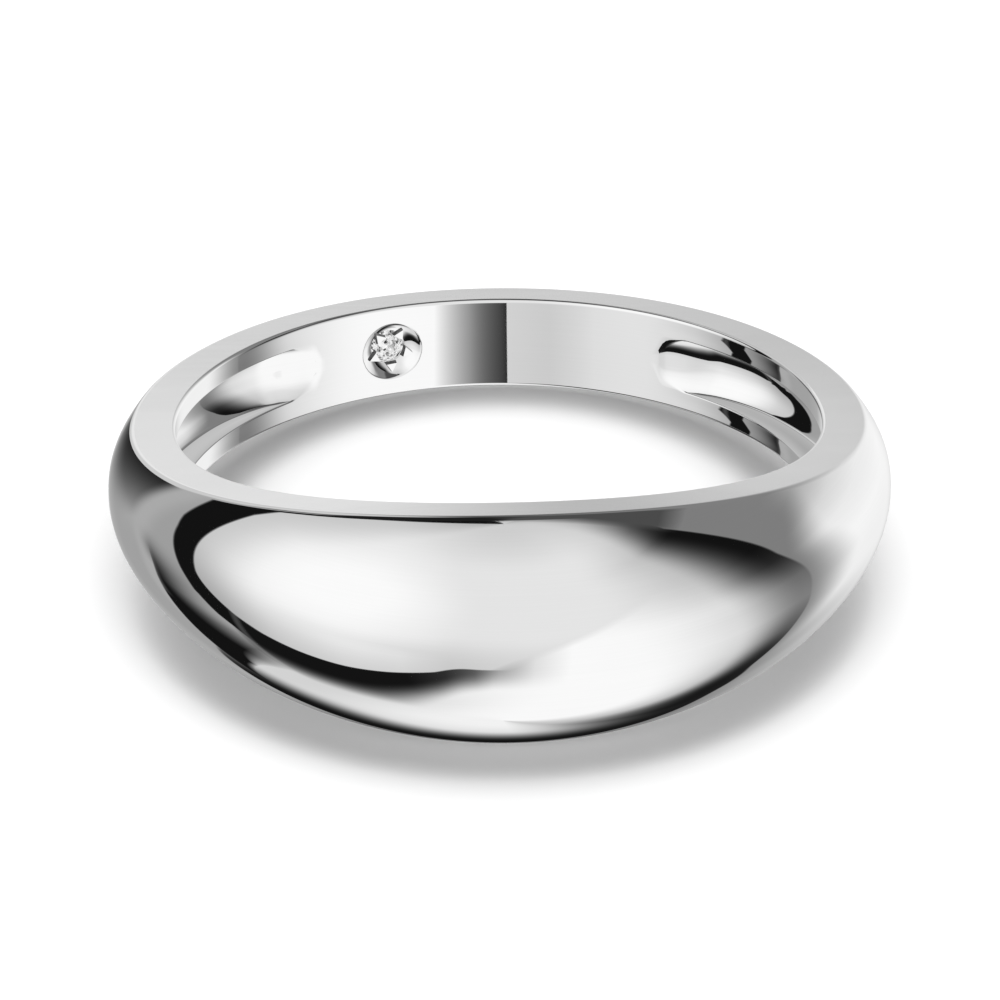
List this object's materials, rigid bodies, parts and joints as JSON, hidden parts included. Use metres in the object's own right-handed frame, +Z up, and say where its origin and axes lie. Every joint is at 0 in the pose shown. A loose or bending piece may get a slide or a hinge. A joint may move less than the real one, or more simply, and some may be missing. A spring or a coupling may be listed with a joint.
{
  "type": "silver dome ring",
  "caption": "Polished silver dome ring, hollow under the dome, with a small diamond set in a dish inside the band, lying on its side.",
  "frame": {"origin": "on the floor, below the middle of the ring as it lies on its side", "axes": "+Z up, -Y towards the broad front of the dome, +X to the right of someone who faces the front; the finger hole runs nearly upright and leans 6 degrees towards the back"},
  "size_m": [0.0206, 0.0212, 0.0064],
  "materials": {
    "silver": "polished",
    "diamond": "polished"
  },
  "bodies": {
    "root": {"band": "silver", "stone": "diamond"}
  },
  "joints": []
}
